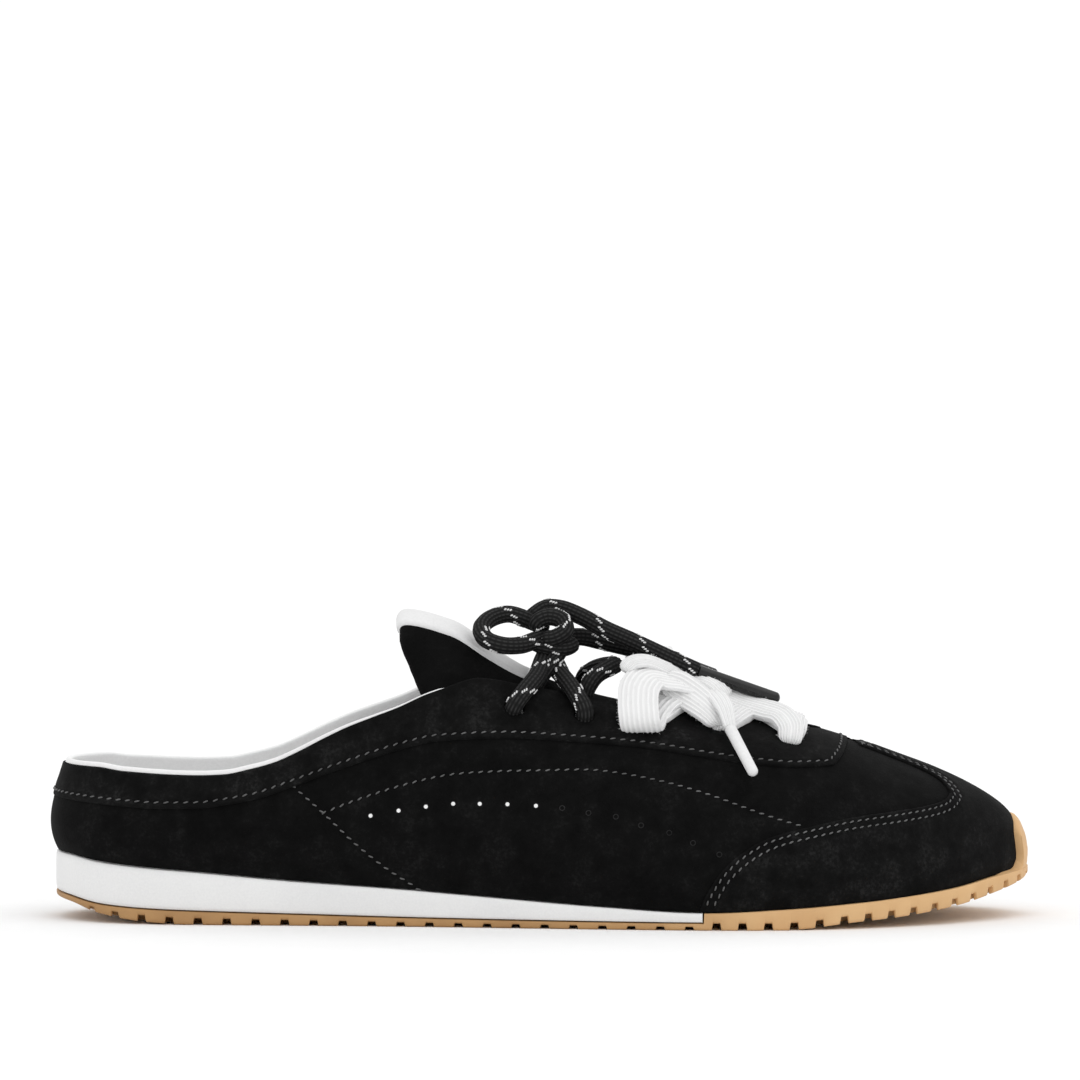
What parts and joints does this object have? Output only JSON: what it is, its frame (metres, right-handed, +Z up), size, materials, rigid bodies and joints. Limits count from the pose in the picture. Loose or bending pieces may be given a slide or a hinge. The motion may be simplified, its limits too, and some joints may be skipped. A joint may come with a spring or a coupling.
{
  "type": "sneaker mule",
  "caption": "Low suede sneaker mule, right shoe, cut down at the heel, with a thin lugged sole, a padded tongue and two laces tied over the throat.",
  "frame": {"origin": "on the floor under the middle of the shoe's box, laces aside", "axes": "+X from heel to toe, +Y to the inner side of the right foot, +Z up"},
  "size_m": [0.2679, 0.0933, 0.087],
  "materials": {
    "suede": "matt black nubuck",
    "gum": "matt gum rubber",
    "white_rubber": "matt white rubber",
    "lining": "smooth white lining",
    "black_lace": "braided rope with white flecks",
    "white_lace": "soft ribbed flat lace",
    "clear_tip": "clear sleeve over black rope",
    "white_tip": "glossy white",
    "thread": "grey thread"
  },
  "bodies": {
    "root": {"outsole": "gum", "midsole": "white_rubber", "insole": "lining", "upper": "suede", "collar_eyestay_panel": "suede", "toe_cap": "suede", "tongue": "suede", "tongue_facing": "lining", "lace_black_crossings": "black_lace", "lace_black_knot": "black_lace", "lace_black_loop": "black_lace", "lace_black_end_1": "black_lace", "lace_black_end_2": "black_lace", "lace_black_tip_1": "clear_tip", "lace_black_tip_2": "clear_tip", "lace_white_crossings": "white_lace", "lace_white_knot": "white_lace", "lace_white_loop_near": "white_lace", "lace_white_loop_far": "white_lace", "lace_white_end_near": "white_lace", "lace_white_end_far": "white_lace", "lace_white_tip_near": "white_tip", "lace_white_tip_far": "white_tip"}
  },
  "joints": []
}
